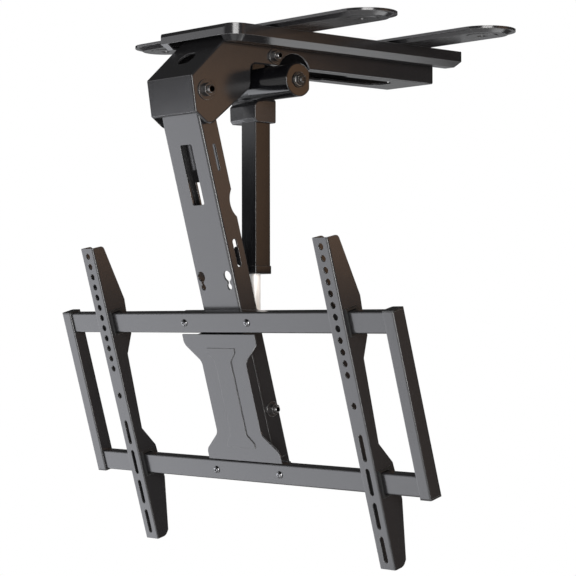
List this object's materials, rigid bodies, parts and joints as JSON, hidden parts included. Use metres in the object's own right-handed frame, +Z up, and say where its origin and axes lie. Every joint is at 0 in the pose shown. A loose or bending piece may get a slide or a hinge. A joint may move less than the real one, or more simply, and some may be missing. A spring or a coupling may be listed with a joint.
{
  "type": "motorized television ceiling mount",
  "caption": "Drop-down ceiling mount: cross arms, hinge bracket and swing arm with a television frame, let down and folded up by an electric screw actuator.",
  "frame": {"origin": "middle of the four ceiling screw holes, in the plane of the ceiling plate's top face, 7.5 mm below the ceiling", "axes": "+X across the television to the motor's side, -Y out of the television's front towards the viewer, +Z up to the ceiling"},
  "size_m": [0.684, 0.4794, 0.7105],
  "materials": {
    "black_coat": "satin powder coat",
    "cast_black": "satin",
    "black_tube": "semi-gloss",
    "black_plastic": "matte",
    "dark_steel": "black zinc",
    "bright_rod": "polished",
    "plain_steel": "plain"
  },
  "bodies": {
    "ceiling_unit": {"front_cross_arm": "black_coat", "rear_cross_arm": "black_coat", "ceiling_plate": "black_coat", "cross_arm_bolts": "dark_steel", "hinge_bracket": "black_coat", "hinge_bolt": "dark_steel", "hinge_nut": "dark_steel", "hinge_washers": "dark_steel", "hinge_spacers": "dark_steel", "actuator_bolt": "dark_steel", "actuator_nut": "dark_steel", "actuator_washers": "dark_steel", "actuator_spacers": "dark_steel"},
    "arm": {"swing_arm": "black_coat", "arm_back_plates": "black_coat", "frame_bracket": "black_coat", "cover_plate": "black_coat", "top_rail": "black_coat", "bottom_rail": "black_coat", "left_side_tube": "black_coat", "right_side_tube": "black_coat", "tube_caps": "black_plastic", "rail_screws": "dark_steel", "lower_pivot_bolt": "dark_steel", "lower_pivot_nut": "dark_steel", "lower_pivot_washers": "dark_steel"},
    "left_upright": {"left_tv_bracket": "black_coat", "left_bracket_glides": "black_plastic"},
    "right_upright": {"right_tv_bracket": "black_coat", "right_bracket_glides": "black_plastic"},
    "actuator": {"gear_housing": "cast_black", "motor_housing": "cast_black", "motor_end_bolt": "dark_steel", "outer_tube": "black_tube", "tube_collar": "black_plastic", "lead_screw": "plain_steel"},
    "rod": {"push_rod": "bright_rod", "rod_eye": "plain_steel", "rod_pin": "plain_steel", "drive_nut": "plain_steel"}
  },
  "joints": [
    {"name": "arm_fold", "type": "hinge", "parent": "ceiling_unit", "child": "arm", "pos_m": [0, -0.2453, -0.0878], "axis": [1, 0, 0], "range_deg": [0, 74.2]},
    {"name": "actuator_swing", "type": "hinge", "parent": "ceiling_unit", "child": "actuator", "pos_m": [0, -0.12688, -0.0336], "axis": [1, 0, 0], "range_deg": [0, 80.28]},
    {"name": "rod_stroke", "type": "slide", "parent": "actuator", "child": "rod", "axis": [0, 0, 1], "range_m": [0, 0.15156]},
    {"name": "left_bracket_slide", "type": "slide", "parent": "arm", "child": "left_upright", "axis": [1, 0, 0], "range_m": [-0.061, 0.139]},
    {"name": "right_bracket_slide", "type": "slide", "parent": "arm", "child": "right_upright", "axis": [1, 0, 0], "range_m": [-0.145, 0.055]}
  ],
  "couplings": [
    {"joint": "actuator_swing", "follows": "arm_fold", "ratio": 1.0819},
    {"joint": "rod_stroke", "follows": "arm_fold", "m_per_rad": 0.11703}
  ]
}
